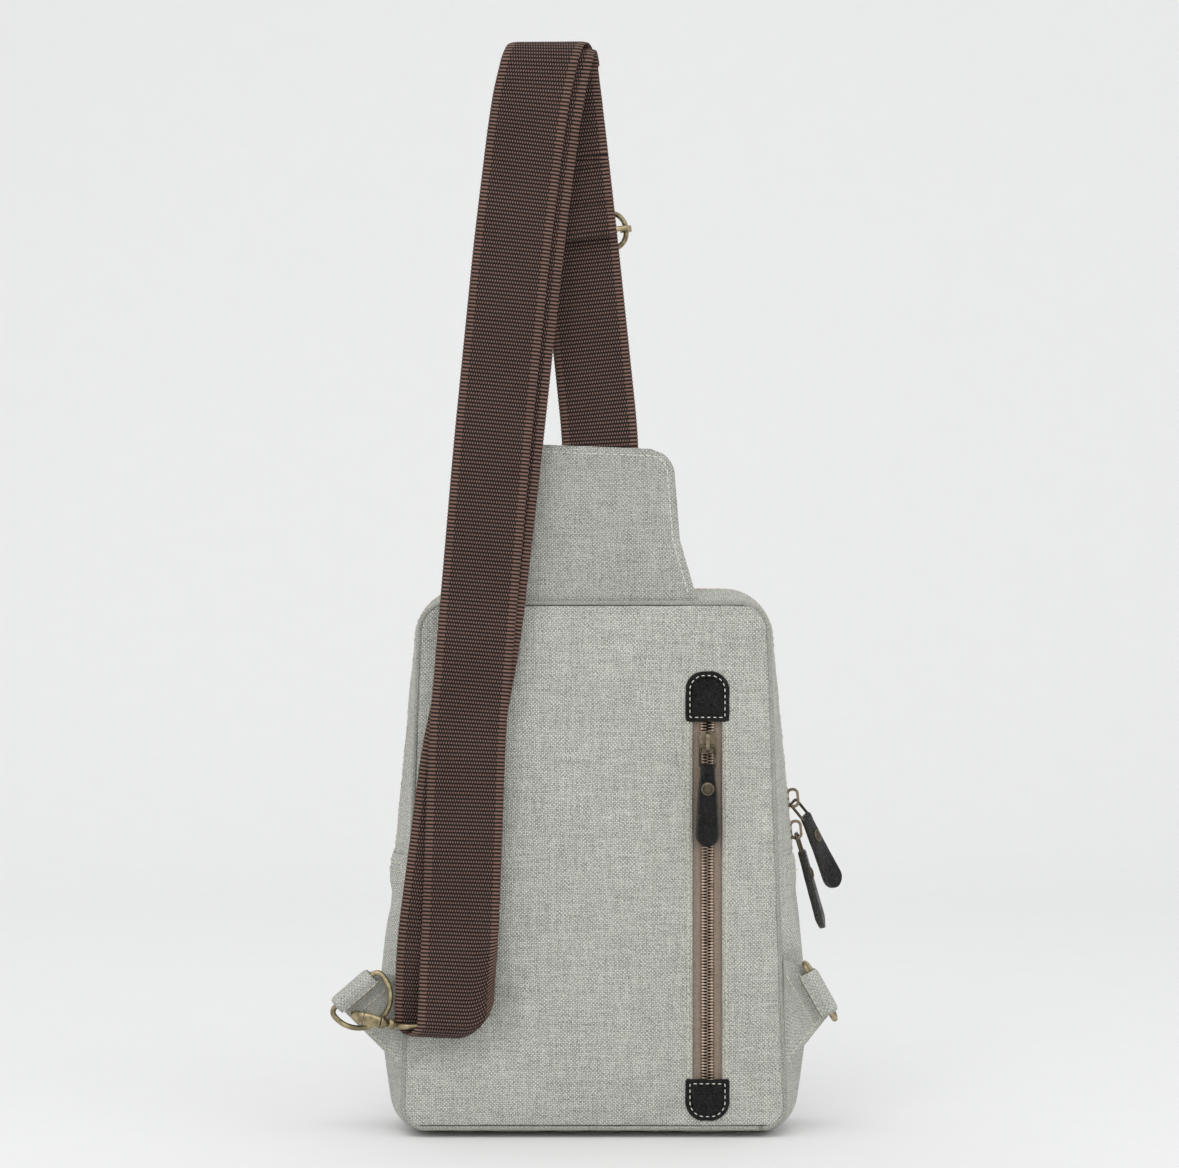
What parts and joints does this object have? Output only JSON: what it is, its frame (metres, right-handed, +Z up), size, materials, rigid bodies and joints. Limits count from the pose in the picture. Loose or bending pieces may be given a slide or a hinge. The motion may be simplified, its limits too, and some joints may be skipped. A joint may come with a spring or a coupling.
{
  "type": "sling bag",
  "caption": "Canvas sling bag with webbing strap, clasp, adjuster, rear zip pocket and zipped main compartment; sliders, links, pulls, rings and strap move.",
  "frame": {"origin": "bottom centre of the bag, on the plane it stands on", "axes": "+Z up; the back panel with its zip pocket faces -Y; +X to the right seen from the back panel"},
  "size_m": [0.2564, 0.0883, 0.54],
  "materials": {
    "canvas": "linen-look canvas",
    "seam": "bound seam",
    "lining": "woven lining",
    "foam": "padding",
    "tape": "zip tape",
    "teeth": "antique brass",
    "brass": "antique brass",
    "leather": "pebbled",
    "webbing": "ribbed webbing"
  },
  "bodies": {
    "bag": {"back_padding": "foam", "back_panel": "canvas", "back_pocket_bag": "lining", "back_zip_chain": "teeth", "back_zip_patch_bottom": "leather", "back_zip_patch_top": "leather", "back_zip_tapes": "tape", "clasp_strap_ring": "brass", "front_panel": "canvas", "gusset_lower": "canvas", "gusset_zip_strip_front": "canvas", "gusset_zip_strip_rear": "canvas", "main_lining": "lining", "main_zip_chain": "teeth", "main_zip_tapes": "tape", "panel_seam_front": "seam", "panel_seam_rear": "seam", "strap_anchor": "webbing", "strap_front_bend": "webbing", "strap_inner_bend": "webbing", "strap_lower": "webbing", "strap_rear_bend": "webbing", "strap_return_slack": "webbing", "tab_left": "canvas", "tab_right": "canvas", "tongue_back": "canvas", "tongue_front": "canvas", "tongue_padding": "foam"},
    "back_zip_slider_body": {"back_zip_slider": "brass"},
    "back_zip_link_body": {"back_zip_link": "brass"},
    "back_zip_pull_body": {"back_zip_pull": "leather", "back_zip_rivet": "brass"},
    "upper_zip_slider_body": {"main_zip_upper_slider": "brass"},
    "upper_zip_link_body": {"main_zip_upper_link": "brass"},
    "upper_zip_pull_body": {"main_zip_upper_pull": "leather", "main_zip_upper_rivet": "brass"},
    "lower_zip_slider_body": {"main_zip_lower_slider": "brass"},
    "lower_zip_link_body": {"main_zip_lower_link": "brass"},
    "lower_zip_pull_body": {"main_zip_lower_pull": "leather", "main_zip_lower_rivet": "brass"},
    "left_ring_body": {"d_ring_left": "brass"},
    "right_ring_body": {"d_ring_right": "brass"},
    "hook_body": {"clasp_hook": "brass"},
    "gate_body": {"clasp_gate": "brass"},
    "strap_loop": {"strap_upper_outer": "webbing", "strap_upper_inner": "webbing"},
    "adjuster": {"adjuster_frame": "brass", "adjuster_bar": "brass", "strap_hem": "webbing"}
  },
  "joints": [
    {"name": "back_zip_slide", "type": "slide", "parent": "bag", "child": "back_zip_slider_body", "axis": [0, 0, -1], "range_m": [-0.004, 0.158]},
    {"name": "back_zip_link_swing", "type": "hinge", "parent": "back_zip_slider_body", "child": "back_zip_link_body", "pos_m": [0.056, -0.0393, 0.193], "axis": [-1, 0, 0], "range_deg": [0, 90]},
    {"name": "back_zip_pull_swing", "type": "hinge", "parent": "back_zip_link_body", "child": "back_zip_pull_body", "pos_m": [0.056, -0.0393, 0.1825], "axis": [-1, 0, 0], "range_deg": [0, 70]},
    {"name": "upper_zip_slide", "type": "slide", "parent": "bag", "child": "upper_zip_slider_body", "axis": [-0.0933, 0, 0.9956], "range_m": [0, 0.068]},
    {"name": "upper_zip_link_swing", "type": "hinge", "parent": "upper_zip_slider_body", "child": "upper_zip_link_body", "pos_m": [0.10031, 0, 0.16336], "axis": [0, -1, 0], "range_deg": [-2, 60]},
    {"name": "upper_zip_pull_swing", "type": "hinge", "parent": "upper_zip_link_body", "child": "upper_zip_pull_body", "pos_m": [0.10697, 0, 0.15524], "axis": [-0.4097, -0.848, -0.336], "range_deg": [-5, 60]},
    {"name": "lower_zip_slide", "type": "slide", "parent": "bag", "child": "lower_zip_slider_body", "axis": [-0.0933, 0, 0.9956], "range_m": [-0.003, 0.0042]},
    {"name": "lower_zip_link_swing", "type": "hinge", "parent": "lower_zip_slider_body", "child": "lower_zip_link_body", "pos_m": [0.10181, 0, 0.14736], "axis": [0, -1, 0], "range_deg": [-6, 5]},
    {"name": "lower_zip_pull_swing", "type": "hinge", "parent": "lower_zip_link_body", "child": "lower_zip_pull_body", "pos_m": [0.10494, 0, 0.13734], "axis": [-0.1657, -0.9848, -0.0518], "range_deg": [-4, 4]},
    {"name": "left_ring_swing", "type": "hinge", "parent": "bag", "child": "left_ring_body", "pos_m": [-0.1181, -0.0412, 0.0728], "axis": [-0.7547, 0, -0.6561], "range_deg": [-1, 6]},
    {"name": "right_ring_swing", "type": "hinge", "parent": "bag", "child": "right_ring_body", "pos_m": [0.111, -0.0412, 0.072], "axis": [0.4848, 0, -0.8746], "range_deg": [0, 248]},
    {"name": "clasp_swivel", "type": "hinge", "parent": "bag", "child": "hook_body", "pos_m": [-0.09903, -0.0424, 0.05649], "axis": [0.9703, 0, -0.2419], "range_deg": [-6, 6]},
    {"name": "gate_open", "type": "hinge", "parent": "hook_body", "child": "gate_body", "pos_m": [-0.10641, -0.0478, 0.05833], "axis": [-0.2419, 0, -0.9703], "range_deg": [0, 24]},
    {"name": "strap_fold", "type": "hinge", "parent": "bag", "child": "strap_loop", "pos_m": [-0.02, -0.0413, 0.354], "axis": [1, 0, 0], "range_deg": [-70, 70], "deforming": ["strap_rear_bend", "strap_front_bend", "strap_inner_bend"]},
    {"name": "adjuster_slide", "type": "slide", "parent": "strap_loop", "child": "adjuster", "axis": [-0.1103, 0, 0.9939], "range_m": [-0.06, 0.022], "deforming": ["strap_return_slack"]}
  ]
}
